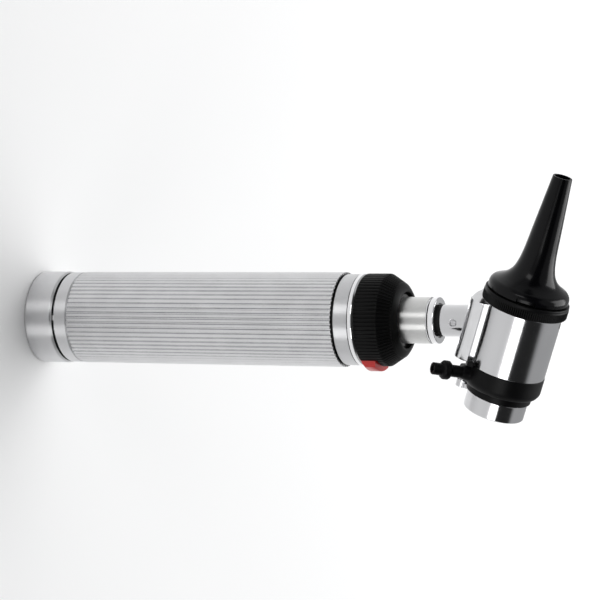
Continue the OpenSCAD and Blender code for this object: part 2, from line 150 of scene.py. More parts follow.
class NodeNet:
    """The node tree of a material or of the world."""

    def __init__(self, owner: bpy.types.Material | bpy.types.World) -> None:
        """Empties the owner's node tree and keeps it.

        Args:
            owner: The material or world whose nodes are built.
        """
        owner.use_nodes = True
        self.tree = owner.node_tree
        self.tree.nodes.clear()

    def add(
        self,
        kind: str,
        settings: dict[str, object] | None = None,
        sockets: dict[str | int, object] | None = None,
    ) -> bpy.types.Node:
        """Adds one node.

        Args:
            kind: The node's type name.
            settings: Node properties, set first.
            sockets: Values or links of input sockets, by name or number.

        Returns:
            The new node.
        """
        node = self.tree.nodes.new(kind)
        for name, value in (settings or {}).items():
            setattr(node, name, value)
        for key, value in (sockets or {}).items():
            source = value.socket if isinstance(value, ShaderMath) else value
            if isinstance(source, bpy.types.NodeSocket):
                self.tree.links.new(source, node.inputs[key])
            else:
                node.inputs[key].default_value = source
        return node

    def place(self) -> bpy.types.NodeSocket:
        """Returns the point on the surface, in the object's own metres."""
        return self.add("ShaderNodeTexCoord").outputs["Object"]

    def along(self, axis: Vector) -> ShaderMath:
        """Distance of the surface point along an axis.

        Args:
            axis: Unit vector of the axis.

        Returns:
            The distance in metres, wrapped.
        """
        sockets = {0: self.place(), 1: tuple(axis)}
        node = self.add("ShaderNodeVectorMath", {"operation": "DOT_PRODUCT"}, sockets)
        return ShaderMath(self, node.outputs["Value"])

    def noise(self, scale: float, detail: float = 3.0, vector: object = None) -> ShaderMath:
        """Noise over the surface.

        Args:
            scale: Features per metre.
            detail: Octaves of finer noise.
            vector: Coordinates; the object's own when left out.

        Returns:
            Noise from 0 to 1, wrapped.
        """
        sockets = {"Vector": vector or self.place(), "Scale": scale, "Detail": detail}
        return ShaderMath(self, self.add("ShaderNodeTexNoise", None, sockets).outputs[0])

    def streaks(self, axis: Vector, across: float, along: float) -> ShaderMath:
        """Fine tool marks: noise drawn out at right angles to an axis, or along it.

        Args:
            axis: Unit vector of the axis the marks are measured by.
            across: Features per metre measured along the axis.
            along: Features per metre in the other directions.

        Returns:
            Noise from 0 to 1, wrapped.
        """
        plain = self.add("ShaderNodeVectorMath", {"operation": "SCALE"}, {0: self.place(), "Scale": along})
        shift = self.add("ShaderNodeVectorMath", {"operation": "SCALE"}, {0: tuple(axis)})
        self.tree.links.new((self.along(axis) * (across - along)).socket, shift.inputs["Scale"])
        total = self.add("ShaderNodeVectorMath", None, {0: plain.outputs[0], 1: shift.outputs[0]})
        return self.noise(1.0, 4.0, total.outputs[0])

    def blend(
        self, factor: ShaderMath, first: Sequence[float], second: Sequence[float]
    ) -> bpy.types.NodeSocket:
        """Colour between two colours.

        Args:
            factor: 0 for the first colour, 1 for the second.
            first: Red, green and blue at 0.
            second: Red, green and blue at 1.

        Returns:
            The mixed colour's socket.
        """
        node = self.add("ShaderNodeMix", {"data_type": "RGBA"})
        self.tree.links.new(factor.socket, node.inputs[0])
        node.inputs[6].default_value = (*first, 1.0)
        node.inputs[7].default_value = (*second, 1.0)
        return node.outputs[2]

    def bump(self, height: ShaderMath, depth: float, strength: float = 1.0) -> bpy.types.NodeSocket:
        """Surface normal for a height pattern.

        Args:
            height: Height from 0 to 1.
            depth: Height of 1, in metres.
            strength: Strength of the effect.

        Returns:
            The normal's socket.
        """
        sockets = {"Height": height, "Distance": depth, "Strength": strength}
        return self.add("ShaderNodeBump", None, sockets).outputs[0]

    def surface(self, sockets: dict[str | int, object]) -> None:
        """Ends the tree in a Principled BSDF.

        Args:
            sockets: Values or links of the shader's sockets.
        """
        shader = self.add("ShaderNodeBsdfPrincipled", None, sockets)
        self.add("ShaderNodeOutputMaterial", None, {"Surface": shader.outputs[0]})


# ---------------------------------------------------------------- finishes


@dataclass(frozen=True)
class Finish:
    """A named finish that makes its material once."""

    name: str
    colour: tuple[float, float, float]
    roughness: float

    def material(self) -> bpy.types.Material:
        """Returns the finish's material, made on first use."""
        found = bpy.data.materials.get("finish_" + self.name)
        if found is None:
            found = bpy.data.materials.new("finish_" + self.name)
            self.dress(NodeNet(found))
        return found

    def dress(self, net: NodeNet) -> None:
        """Builds the nodes.

        Args:
            net: The material's empty node tree.
        """
        raise NotImplementedError

    def shade(self, amount: float) -> tuple[float, float, float]:
        """The finish's colour, lighter or darker.

        Args:
            amount: Factor on each channel.

        Returns:
            Red, green and blue.
        """
        return tuple(min(1.0, c * amount) for c in self.colour)


@dataclass(frozen=True)
class TurnedMetal(Finish):
    """Metal with fine tool marks round or along an axis, from satin to bright."""

    axis: tuple[float, float, float] = (0.0, 0.0, 1.0)
    marks: float = 9000.0
    run: float = 120.0
    mark_depth: float = 0.0000012
    spread: float = 0.10
    mottle: float = 0.05
    drawn_out: float = 0.0

    def dress(self, net: NodeNet) -> None:
        """Builds the nodes.

        Args:
            net: The material's empty node tree.
        """
        marks = net.streaks(Vector(self.axis), self.marks, self.run)
        patches = net.noise(160.0, 3.0)
        worn = (patches.stepped(0.35, 0.75) + marks * 0.6) / 1.6
        net.surface({
            "Base Color": net.blend(worn, self.shade(1.0 - self.mottle), self.shade(1.0 + self.mottle)),
            "Roughness": self.roughness + (marks - 0.5) * self.spread + (patches - 0.5) * (self.spread * 0.4),
            "Metallic": 1.0,
            "Anisotropic": self.drawn_out,
            "Anisotropic Rotation": 0.25,
            "Normal": net.bump(marks, self.mark_depth, 0.6),
        })


@dataclass(frozen=True)
class PlatedMetal(Finish):
    """Polished plating with faint wipe marks."""

    smear: float = 0.03

    def dress(self, net: NodeNet) -> None:
        """Builds the nodes.

        Args:
            net: The material's empty node tree.
        """
        film = net.noise(90.0, 4.0)
        specks = net.noise(2600.0, 2.0)
        net.surface({
            "Base Color": net.blend(film, self.shade(0.97), self.shade(1.03)),
            "Roughness": self.roughness + film.stepped(0.45, 0.8) * self.smear + specks * 0.008,
            "Metallic": 1.0,
            "Normal": net.bump(specks, 0.0000004, 0.25),
        })


@dataclass(frozen=True)
class MouldedPlastic(Finish):
    """Moulded plastic: fine spark texture, flow marks, and lighter rubbed patches."""

    grain: float = 5200.0
    grain_depth: float = 0.000008
    coat: float = 0.0
    lift: float = 1.6
    gloss: float = 0.2

    def dress(self, net: NodeNet) -> None:
        """Builds the nodes.

        Args:
            net: The material's empty node tree.
        """
        spark = net.noise(self.grain, 2.0)
        flow = net.noise(140.0, 4.0)
        rubbed = flow.stepped(0.42, 0.78)
        net.surface({
            "Base Color": net.blend(rubbed, self.colour, self.shade(self.lift)),
            "Roughness": self.roughness + (flow - 0.5) * 0.12 + (spark - 0.5) * 0.05,
            "Coat Weight": self.coat + rubbed * (0.1 * self.coat),
            "Coat Roughness": 0.08,
            "Specular IOR Level": self.gloss,
            "Normal": net.bump(spark, self.grain_depth, 0.35),
        })


@dataclass(frozen=True)
class ClearGlass(Finish):
    """Ground and polished optical glass, or a lamp's envelope."""

    index: float = 1.52
    clarity: float = 1.0

    def dress(self, net: NodeNet) -> None:
        """Builds the nodes.

        Args:
            net: The material's empty node tree.
        """
        film = net.noise(220.0, 3.0)
        net.surface({
            "Base Color": net.blend(film, self.shade(0.985), self.colour),
            "Roughness": self.roughness + film.stepped(0.5, 0.9) * 0.012,
            "IOR": self.index,
            "Transmission Weight": self.clarity,
        })


@dataclass(frozen=True)
class PrintedCan(Finish):
    """A cell's printed sleeve with a metallic band and a dull end."""

    band: tuple[float, float, float] = (0.62, 0.44, 0.17)
    base: float = 0.0105
    height: float = 0.050

    def dress(self, net: NodeNet) -> None:
        """Builds the nodes.

        Args:
            net: The material's empty node tree.
        """
        rise = (net.along(Vector((0, 0, 1))) - self.base) / self.height
        level = rise - net.add("ShaderNodeMath", {"operation": "FLOOR"}, {0: rise}).outputs[0]
        copper = level.stepped(0.68, 0.69)
        film = net.noise(300.0, 3.0)
        net.surface({
            "Base Color": net.blend(copper, self.colour, self.band),
            "Metallic": copper * 0.8 + 0.1,
            "Roughness": self.roughness + film * 0.08,
        })


@dataclass(frozen=True)
class HeadFrame:
    """Where the speculum's axis runs, read from the record's joints."""

    centre: Vector
    forward: Vector
    outward: Vector

    @classmethod
    def read(cls) -> "HeadFrame":
        """Returns the frame: its centre is where the speculum's axis crosses the handle's."""
        twist = next(j for j in frame["joints"] if j["name"] == "ring_twist")
        forward = Vector(twist["axis"]).normalized()
        point = Vector(twist["pos_m"])
        outward = Vector((0, 1, 0)).cross(forward).normalized()
        return cls(point - forward * (point.x / forward.x), forward, outward)

    def matrix(self) -> Matrix:
        """Returns the matrix from the head's millimetres to the object's metres."""
        side = self.forward.cross(self.outward)
        turn = Matrix((self.outward, side, self.forward)).transposed().to_4x4()
        return Matrix.Translation(self.centre) @ turn @ Matrix.Scale(MM, 4)


HEAD = HeadFrame.read()
ALONG_HEAD = tuple(HEAD.forward)
ON_HANDLE = Matrix.Scale(MM, 4)
ON_HEAD = HEAD.matrix()


class Look(Enum):
    """Every finish on the otoscope."""

    SATIN = TurnedMetal("satin_aluminium", (0.74, 0.74, 0.75), 0.38, drawn_out=0.9)
    GRIP = TurnedMetal("fluted_aluminium", (0.68, 0.68, 0.69), 0.20, marks=5000.0, run=700.0)
    BRIGHT = TurnedMetal("bright_edge", (0.90, 0.90, 0.91), 0.10, spread=0.04)
    SLEEVE = TurnedMetal("brushed_sleeve", (0.74, 0.74, 0.73), 0.32, marks=14000.0, run=200.0, drawn_out=0.9)
    STEEL = TurnedMetal("spring_steel", (0.55, 0.55, 0.56), 0.30)
    # Near-black steel: the real finish of the circlip, ring screw and lens clip, and painted shade on the
    # cap's and grip's threads, the seam gap and the grooves of the grip and sleeve.
    DARK_STEEL_AND_PAINTED_SHADE = TurnedMetal("blackened_steel_and_painted_shade", (0.06, 0.06, 0.06), 0.40)
    BRASS = TurnedMetal("turned_brass", (0.80, 0.60, 0.28), 0.24)
    CHROME = PlatedMetal("chrome", (0.66, 0.66, 0.67), 0.11)
    SATIN_CHROME = TurnedMetal("satin_chrome", (0.80, 0.80, 0.81), 0.20, axis=ALONG_HEAD)
    MIRROR = PlatedMetal("front_mirror", (0.93, 0.94, 0.95), 0.015, smear=0.01)
    KNOB = MouldedPlastic("knob_black", (0.002, 0.002, 0.002), 0.40, coat=0.0, gloss=0.12)
    GLOSS = MouldedPlastic("speculum_black", (0.0015, 0.0015, 0.002), 0.20, grain_depth=0.000002, coat=0.05,
                           gloss=0.15)
    MATT = MouldedPlastic("housing_black", (0.002, 0.002, 0.0022), 0.38, gloss=0.12, grain_depth=0.00001)
    SEAL = MouldedPlastic("seal_rubber", (0.012, 0.012, 0.012), 0.62)
    RED = MouldedPlastic("lock_red", (0.56, 0.012, 0.010), 0.34, coat=0.2, lift=1.12, gloss=0.5)
    IVORY = MouldedPlastic("insulator_ivory", (0.74, 0.71, 0.62), 0.46, lift=1.08, gloss=0.5)
    TRACK = MouldedPlastic("resistance_strip", (0.10, 0.055, 0.03), 0.55, grain=9000.0)
    CELL = PrintedCan("cell_sleeve", (0.012, 0.013, 0.016), 0.32)
    GLASS = ClearGlass("optical_glass", (0.96, 0.985, 0.99), 0.01)

    def material(self) -> bpy.types.Material:
        """Returns the finish's material."""
        return self.value.material()


# ---------------------------------------------------------------- mesh makers


@dataclass(frozen=True)
class Ridges:
    """Ridges round an axis."""

    count: int
    depth: float
    start: float = -1000.0
    stop: float = 1000.0
    fade: float = 0.25
    outside: float = 0.0
    rounded: bool = True
    land: float = 0.55

    def __call__(self, theta: np.ndarray, r: float, z: float) -> np.ndarray:
        """Radial offset of the surface.

        Args:
            theta: Angles in radians.
            r: Radius of the plain surface.
            z: Height along the axis.

        Returns:
            Offset at each angle.
        """
        if r < self.outside or z < self.start or z > self.stop:
            return np.zeros_like(theta)
        near = min(z - self.start, self.stop - z)
        weight = min(1.0, near / self.fade) if self.fade else 1.0
        if self.rounded:
            shape = 1.0 - np.abs(np.cos(self.count * theta / 2.0))
        else:
            wave = np.abs(((theta * self.count / math.tau) % 1.0) - 0.5) * 2.0
            shape = np.clip((wave - self.land) / (1.0 - self.land) * 1.6, 0.0, 1.0)
        return -self.depth * weight * shape


class Maker:
    """Makes the detailed pieces and sets them on their bodies."""

    @staticmethod
    def rounded(corners: Sequence[Corner], closed: bool, steps: int = 5) -> list[tuple[float, float, int]]:
        """Rounds a profile's corners.

        Args:
            corners: Radius, height, then optionally a rounding radius and a finish number.
            closed: Whether the profile runs back to its start.
            steps: Steps of each rounding.

        Returns:
            Radius, height and finish number of every point.
        """
        out: list[tuple[float, float, int]] = []
        count = len(corners)
        for i, corner in enumerate(corners):
            here = Vector(corner[:2])
            size = corner[2] if len(corner) > 2 else 0.0
            coat = int(corner[3]) if len(corner) > 3 else 0
            if size <= 0 or (not closed and i in (0, count - 1)):
                out.append((here.x, here.y, coat))
                continue
            back, ahead = Vector(corners[i - 1][:2]) - here, Vector(corners[(i + 1) % count][:2]) - here
            reach = min(size, back.length * 0.48, ahead.length * 0.48)
            start, end = here + back.normalized() * reach, here + ahead.normalized() * reach
            previous = corners[i - 1]
            coat_before = int(previous[3]) if len(previous) > 3 else 0
            if back.length > 4 * reach + 0.3:
                out.append((*(start + back.normalized() * 0.08), coat_before))
            for k in range(steps + 1):
                t = k / steps
                at = start * (1 - t) ** 2 + here * (2 * t * (1 - t)) + end * t**2
                out.append((at.x, at.y, coat_before if t < 0.5 else coat))
            if ahead.length > 4 * reach + 0.3:
                out.append((*(end + ahead.normalized() * 0.08), coat))
        return out

    @staticmethod
    def finish_mesh(
        name: str, mesh: bmesh.types.BMesh, looks: Sequence[Look], place: Matrix, crease: float
    ) -> bpy.types.Object:
        """Turns a bmesh into an object.

        Args:
            name: The piece's name.
            mesh: The shape, in millimetres; it is freed.
            looks: Finishes in the order of the faces' finish numbers.
            place: Matrix from the shape's frame to the object's.
            crease: Edges sharper than this many degrees stay crisp.

        Returns:
            The new object.
        """
        bmesh.ops.remove_doubles(mesh, verts=mesh.verts, dist=0.0005)
        bmesh.ops.dissolve_degenerate(mesh, edges=mesh.edges, dist=0.0001)
        mesh.transform(place)
        bmesh.ops.recalc_face_normals(mesh, faces=mesh.faces)
        data = bpy.data.meshes.new(name)
        mesh.to_mesh(data)
        mesh.free()
        for look in looks:
            data.materials.append(look.material())
        data.shade_smooth()
        data.set_sharp_from_angle(angle=math.radians(crease))
        piece = bpy.data.objects.new(name, data)
        bpy.context.scene.collection.objects.link(piece)
        return piece

    @classmethod
    def turned(
        cls,
        name: str,
        corners: Sequence[Corner],
        looks: Sequence[Look],
        place: Matrix = ON_HANDLE,
        segments: int = 256,
        relief: Sequence[Relief] = (),
        closed: bool = True,
        extra: Sequence[float] = (),
        crease: float = 32.0,
    ) -> bpy.types.Object:
        """Makes a body of revolution, with ridges or cut-outs as radial relief.

        Args:
            name: The piece's name.
            corners: The profile, as rounded() takes it.
            looks: Finishes by number.
            place: Matrix from the shape's frame to the object's.
            segments: Steps round the axis.
            relief: Radial offsets that are added up.
            closed: Whether the profile runs back to its start.
            extra: Heights at which long walls get more stations, for the relief.
            crease: Edges sharper than this many degrees stay crisp.

        Returns:
            The new object.
        """
        points = cls._stations(cls.rounded(corners, closed), extra, closed)
        theta = np.linspace(0.0, math.tau, segments, endpoint=False)
        rings = []
        for r, z, _ in points:
            radius = np.full_like(theta, r)
            for part in relief if r > 0 else ():
                radius = radius + part(theta, r, z)
            height = np.full_like(theta, z)
            rings.append(np.stack([radius * np.cos(theta), radius * np.sin(theta), height], 1))
        mesh = bmesh.new()
        verts = [[mesh.verts.new(v) for v in ring] for ring in rings]
        last = len(points) if closed else len(points) - 1
        for i in range(last):
            a, b = verts[i], verts[(i + 1) % len(points)]
            for j in range(segments):
                k = (j + 1) % segments
                mesh.faces.new((a[j], a[k], b[k], b[j])).material_index = points[i][2]
        return cls.finish_mesh(name, mesh, looks, place, crease)

    @staticmethod
    def _stations(
        points: list[tuple[float, float, int]], extra: Sequence[float], closed: bool
    ) -> list[tuple[float, float, int]]:
        """Adds stations on the walls that cross the given heights.

        Args:
            points: Radius, height and finish number of the profile's points.
            extra: Heights to add.
            closed: Whether the profile runs back to its start.

        Returns:
            The profile with the new points.
        """
        out = []
        for i, here in enumerate(points):
            out.append(here)
            if not closed and i == len(points) - 1:
                break
            there = points[(i + 1) % len(points)]
            rise = there[1] - here[1]
            cuts = [z for z in extra if min(here[1], there[1]) + 1e-4 < z < max(here[1], there[1]) - 1e-4]
            for z in sorted(cuts, reverse=rise < 0):
                t = (z - here[1]) / rise
                out.append((here[0] + (there[0] - here[0]) * t, z, here[2]))
        return out

    @classmethod
    def slab(
        cls,
        name: str,
        outline: Sequence[tuple[float, float]],
        low: float,
        high: float,
        looks: Sequence[Look],
        place: Matrix = ON_HANDLE,
        bevel: float = 0.3,
        crease: float = 32.0,
    ) -> bpy.types.Object:
        """Extrudes an outline and rounds the edges of its two ends.

        Args:
            name: The piece's name.
            outline: Corners of the outline, in order.
            low: Height of the lower end.
            high: Height of the upper end.
            looks: Finishes by number.
            place: Matrix from the shape's frame to the object's.
            bevel: Width of the rounding.
            crease: Edges sharper than this many degrees stay crisp.

        Returns:
            The new object.
        """
        mesh = bmesh.new()
        lower = [mesh.verts.new((x, y, low)) for x, y in outline]
        upper = [mesh.verts.new((x, y, high)) for x, y in outline]
        ends = [mesh.faces.new(lower[::-1]), mesh.faces.new(upper)]
        for j in range(len(outline)):
            k = (j + 1) % len(outline)
            mesh.faces.new((lower[j], lower[k], upper[k], upper[j]))
        rims = list({edge for end in ends for edge in end.edges})
        bmesh.ops.bevel(mesh, geom=rims, offset=bevel, segments=4, profile=0.5, affect="EDGES")
        return cls.finish_mesh(name, mesh, looks, place, crease)

    @staticmethod
    def join(name: str, parts: Sequence[bpy.types.Object]) -> bpy.types.Object:
        """Joins pieces with the same finishes into one object.

        Args:
            name: The joined piece's name.
            parts: The pieces; they are used up.

        Returns:
            The joined object.
        """
        looks = list(parts[0].data.materials)
        mesh = bmesh.new()
        for part in parts:
            mesh.from_mesh(part.data)
        data = bpy.data.meshes.new(name + "_mesh")
        mesh.to_mesh(data)
        mesh.free()
        for look in looks:
            data.materials.append(look)
        for part in parts:
            bpy.data.objects.remove(part)
        piece = bpy.data.objects.new(name, data)
        bpy.context.scene.collection.objects.link(piece)
        return piece

    @staticmethod
    def hand_over(piece: bpy.types.Object, body: str, node: str) -> bpy.types.Object:
        """Lets a piece stand for a CAD node and move with its body.

        Args:
            piece: The detailed piece.
            body: The CAD body it rides on.
            node: The CAD node it replaces.

        Returns:
            The piece.
        """
        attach(piece, body)
        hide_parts(node)
        LOG.info("%s stands for %s on %s", piece.name, node, body)
        return piece

    @staticmethod
    def dress_node(node: str, look: Look) -> None:
        """Gives a CAD node its finish.

        Args:
            node: The CAD node.
            look: The finish.
        """
        data = frame["nodes"][node].data
        data.materials.clear()
        data.materials.append(look.material())
        LOG.info("%s keeps its shape and gets %s", node, look.name.lower())


def wedge_cut(
    angle: float, half: float, low: float, high: float, depth: float, outside: float, inside: float = math.inf
) -> Relief:
    """A cut-out in a turned wall.

    Args:
        angle: Middle of the cut, in degrees.
        half: Half its width, in degrees.
        low: Height where it starts.
        high: Height where it ends.
        depth: Depth of the cut; negative cuts a bore outwards.
        outside: Least radius it applies to.
        inside: Radius from which it no longer applies.

    Returns:
        The relief.
    """

    def relief(theta: np.ndarray, r: float, z: float) -> np.ndarray:
        """Radial offset of the cut."""
        if not outside <= r < inside or not low <= z <= high:
            return np.zeros_like(theta)
        away = np.abs((np.degrees(theta) - angle + 180.0) % 360.0 - 180.0)
        return np.where(away <= half, -depth, 0.0)

    return relief


# ---------------------------------------------------------------- handle


@dataclass
class Handle:
    """The grip, its screw cap and what is inside."""

    cap_r: float = 15.15
    grip_r: float = 15.0
    flutes: int = 60
    flute_depth: float = 0.55
    seam: float = 9.9
    neck_r: float = 14.3
    skirt_r: float = 14.42
    thread_depth: float = 0.35
    thread_rings: tuple[float, ...] = (4.8, 6.3, 7.8)
    band_stop: float = 14.9
    flute_start: float = 15.25
    flute_stop: float = 108.1
    band_end: float = 113.4
    bore: float = 13.5
    notch: float = 259.0

    def build(self) -> None:
        """Builds the handle's pieces and dresses its inner nodes."""
        self._cap()
        self._grip()
        self._bezel()
        for node, look in {
            "end_disc": Look.SATIN,
            "cap_plate": Look.BRASS,
            "cap_spring": Look.STEEL,
            "battery_lower": Look.CELL,
            "battery_upper": Look.CELL,
            "battery_contact": Look.BRASS,
            "front_insulator": Look.MATT,
            "rheostat_track": Look.TRACK,
        }.items():
            Maker.dress_node(node, look)

    def _notch(self, low: float, high: float, floor_r: float) -> Relief:
        """The square notch across the seam, cut down to a given radius.

        Args:
            low: Height where it starts.
            high: Height where it ends.
            floor_r: Radius of its floor.

        Returns:
            The relief.
        """

        def relief(theta: np.ndarray, r: float, z: float) -> np.ndarray:
            """Radial offset of the notch."""
            return wedge_cut(self.notch, 3.4, low, high, r - floor_r, floor_r)(theta, r, z)

        return relief

    def _cap(self) -> None:
        """The screw cap: satin wall and rim, and rings of thread in its skirt, round the end disc; the rim's
        top face at the seam, the skirt's inside and its thread carry painted shade.
        """
        wall, floor, notch_low = self.cap_r, 2.5, self.seam - 0.6
        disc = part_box("end_disc")[1].x / MM
        thread = []
        for z in self.thread_rings[::-1]:
            thread += [
                (self.skirt_r, z + self.thread_depth, 0.0, 1), (self.skirt_r + self.thread_depth, z, 0.0, 1),
                (self.skirt_r, z - self.thread_depth, 0.0, 1),
            ]
        corners = [
            (disc, 0.0), (wall, 0.0, 0.7), (wall, self.seam - 0.7, 0.1), (wall - 0.45, self.seam, 0.08, 1),
            (self.skirt_r, self.seam, 0.0, 1), *thread, (self.skirt_r, floor, 0.3), (disc, floor),
        ]
        cut = self._notch(notch_low, self.seam + 0.01, self.skirt_r + 0.05)
        # Finish 1 is painted shade: the rim's top face, the inside of the skirt and its thread are
        # near-black.
        cap = Maker.turned("cap", corners, [Look.SATIN, Look.DARK_STEEL_AND_PAINTED_SHADE], segments=288,
                           relief=[cut], extra=[notch_low - 0.01, notch_low + 0.01])
        Maker.hand_over(cap, "cap", "bottom_cap")

    def _grip(self) -> None:
        """The tube: threaded neck, bright bevel at the seam, satin band, flutes, satin band; the neck under
        the seam and the step and groove after the flutes carry painted shade.
        """
        core, foot, relief_r, groove_r = 14.4, 4.2, 13.85, 13.6
        low = self.seam + 0.22
        thread = []
        for z in self.thread_rings:
            thread += [
                (self.neck_r, z - self.thread_depth, 0.0, 3), (self.neck_r - self.thread_depth, z, 0.0, 3),
                (self.neck_r, z + self.thread_depth, 0.0, 3),
            ]
        corners = [
            (self.bore, foot), (self.neck_r, foot, 0.2, 3), *thread, (self.neck_r, self.seam - 0.3, 0.0, 3),
            (relief_r, self.seam - 0.3, 0.0, 3), (relief_r, low, 0.0, 1), (14.35, low, 0.08, 1),
            (14.9, low + 0.9, 0.1), (14.9, self.band_stop, 0.08), (core, self.band_stop + 0.15, 0.0),
            (core, self.flute_start - 0.2, 0.0, 2), (self.grip_r, self.flute_start + 0.35, 0.1, 2),
            (self.grip_r, self.flute_stop, 0.08, 3), (groove_r, self.flute_stop + 0.05, 0.0, 3),
            (groove_r, self.flute_stop + 0.7, 0.0, 1), (core, self.flute_stop + 0.75, 0.12),
            (core, self.band_end, 0.08, 1), (self.bore, self.band_end),
        ]
        ridges = Ridges(self.flutes, self.flute_depth, self.flute_start, self.flute_stop + 0.02, 0.0, 14.5,
                        False, 0.5)
        cut = self._notch(low - 0.01, low + 0.8, 14.1)
        # Finish 3 is painted shade: near-black on the neck seen through the seam gap and on the step and
        # groove after the flutes.
        looks = [Look.SATIN, Look.BRIGHT, Look.GRIP, Look.DARK_STEEL_AND_PAINTED_SHADE]
        grip = Maker.turned("grip", corners, looks, segments=self.flutes * 12, relief=[ridges, cut],
                            extra=[low + 0.81, 30.0, 60.0, 90.0], crease=40.0)
        Maker.hand_over(grip, "handle", "handle_tube")

    def _bezel(self) -> None:
        """The polished ring under the rheostat ring, with its dark seam."""
        low, high = self.band_end + 0.12, 115.4
        corners = [
            (12.6, low), (14.3, low, 0.0), (14.62, low + 0.28, 0.1), (14.62, high - 0.5, 0.2),
            (14.3, high, 0.1), (12.6, high),
        ]
        Maker.hand_over(Maker.turned("bezel", corners, [Look.BRIGHT], segments=288), "handle", "front_bezel")


@dataclass
class Switch:
    """The rheostat ring and its lock button."""

    radius: float = 14.6
    low: float = 115.6
    edge: float = 123.0
    ridge_count: int = 72
    ridge_depth: float = 0.42
    button_angle: float = 345.0
    button_half: float = 6.1

    def build(self) -> None:
        """Builds the ring and the button and dresses the pieces behind them."""
        self._ring()
        self._button()
        for node, look in {
            "wiper": Look.BRASS,
            "button_spring": Look.STEEL,
            "circlip": Look.DARK_STEEL_AND_PAINTED_SHADE,
        }.items():
            Maker.dress_node(node, look)

    def _ring(self) -> None:
        """The black ring: ridged cylinder, ridged cone, smooth lip and recess."""
        r = self.radius
        corners = [
            (13.2, self.low), (r, self.low, 0.25), (r, self.edge, 0.25), (12.05, 126.9, 0.3),
            (11.8, 127.3, 0.2), (11.0, 127.9, 0.3), (10.2, 128.4, 0.3), (9.5, 128.7, 0.2),
            (8.9, 128.5, 0.15), (8.9, 126.9, 0.1), (7.36, 126.9), (7.36, 118.2), (10.3, 118.2),
            (10.3, 121.6), (13.2, 121.6),
        ]
        ridges = Ridges(self.ridge_count, self.ridge_depth, self.low + 0.05, 127.1, 0.5, 11.0, False, 0.5)
        half = math.degrees(math.asin((self.button_half + 0.1) / r))
        window_top = 121.0
        cut = wedge_cut(self.button_angle, half, self.low - 0.1, window_top, 1.45, 13.9)
        ring = Maker.turned("rheostat_knob", corners, [Look.KNOB], segments=self.ridge_count * 10,
                            relief=[ridges, cut], extra=[window_top, window_top + 0.02, 125.0], crease=38.0)
        Maker.hand_over(ring, "rheostat", "rheostat_ring")

    def _button(self) -> None:
        """The red button: a curved block with a slope towards the cap."""
        reach, inner, half = 16.2, 12.1, self.button_half
        low, high = 115.75, 120.3
        rows = [(low, 15.0), (low + 1.1, reach), (high - 0.2, reach), (high, reach - 0.2)]
        mesh = bmesh.new()
        across = np.linspace(-half, half, 17)
        turn = Matrix.Rotation(math.radians(self.button_angle), 4, "Z")
        grid = []
        for z, r in rows:
            grid.append([mesh.verts.new((math.sqrt(r * r - y * y), y, z)) for y in across])
        back = [[mesh.verts.new((math.sqrt(inner**2 - y * y), y, z)) for y in across] for z in (low, high)]
        for a, b in zip(grid, grid[1:]):
            for j in range(16):
                mesh.faces.new((a[j], a[j + 1], b[j + 1], b[j]))
        for j in range(16):
            mesh.faces.new((back[0][j + 1], back[0][j], back[1][j], back[1][j + 1]))
            mesh.faces.new((grid[0][j + 1], grid[0][j], back[0][j], back[0][j + 1]))
            mesh.faces.new((grid[-1][j], grid[-1][j + 1], back[1][j + 1], back[1][j]))
        for j, flip in ((0, 1), (16, -1)):
            side = [back[0][j], *(row[j] for row in grid), back[1][j]]
            mesh.faces.new(side[::flip])
        sharp = [e for e in mesh.edges if e.calc_face_angle(0.0) > 0.6]
        bmesh.ops.bevel(mesh, geom=sharp, offset=0.22, segments=3, profile=0.5, affect="EDGES")
        key = Maker.finish_mesh("lock_key", mesh, [Look.RED], ON_HANDLE @ turn, 50.0)
        Maker.hand_over(key, "button", "lock_button")


@dataclass
class Connector:
    """The sleeve that takes the head's plug."""

    radius: float = 7.3
    bore: float = 5.3
    end: float = 139.3
    slot_angle: float = 236.0

    def build(self) -> None:
        """Builds the sleeve and dresses the contact inside."""
        r, bore, end = self.radius, self.bore, self.end
        corners = [
            (3.2, 111.6), (12.5, 111.6), (12.5, 113.0), (r, 113.0), (r, 126.95), (r - 0.3, 126.95),
            (r - 0.3, 127.65), (r, 127.65), (r, 136.75, 0.12, 1), (r - 0.4, 136.95, 0.0, 2),
            (r - 0.4, 137.25, 0.0, 1), (r, 137.45, 0.12, 1), (r, end, 0.3, 1), (bore + 0.2, end, 0.15),
            (bore, end - 0.6, 0.1), (bore, 126.9), (3.2, 126.9),
        ]
        slots = [
            wedge_cut(self.slot_angle + side, 8.7, 132.0, end + 1.0, -1.05, 5.2, bore + 0.3)
            for side in (0.0, 180.0)
        ]
        # Finish 2 is painted shade: the floor of the groove near the sleeve's end is near-black.
        sleeve = Maker.turned("sleeve", corners, [Look.SLEEVE, Look.BRIGHT, Look.DARK_STEEL_AND_PAINTED_SHADE],
                              relief=slots, extra=[131.99, 132.01])
        Maker.hand_over(sleeve, "handle", "connector_sleeve")
        for node, look in {
            "contact_insulator": Look.IVORY,
            "contact_spring": Look.STEEL,
            "centre_contact": Look.BRASS,
        }.items():
            Maker.dress_node(node, look)


# ---------------------------------------------------------------- head


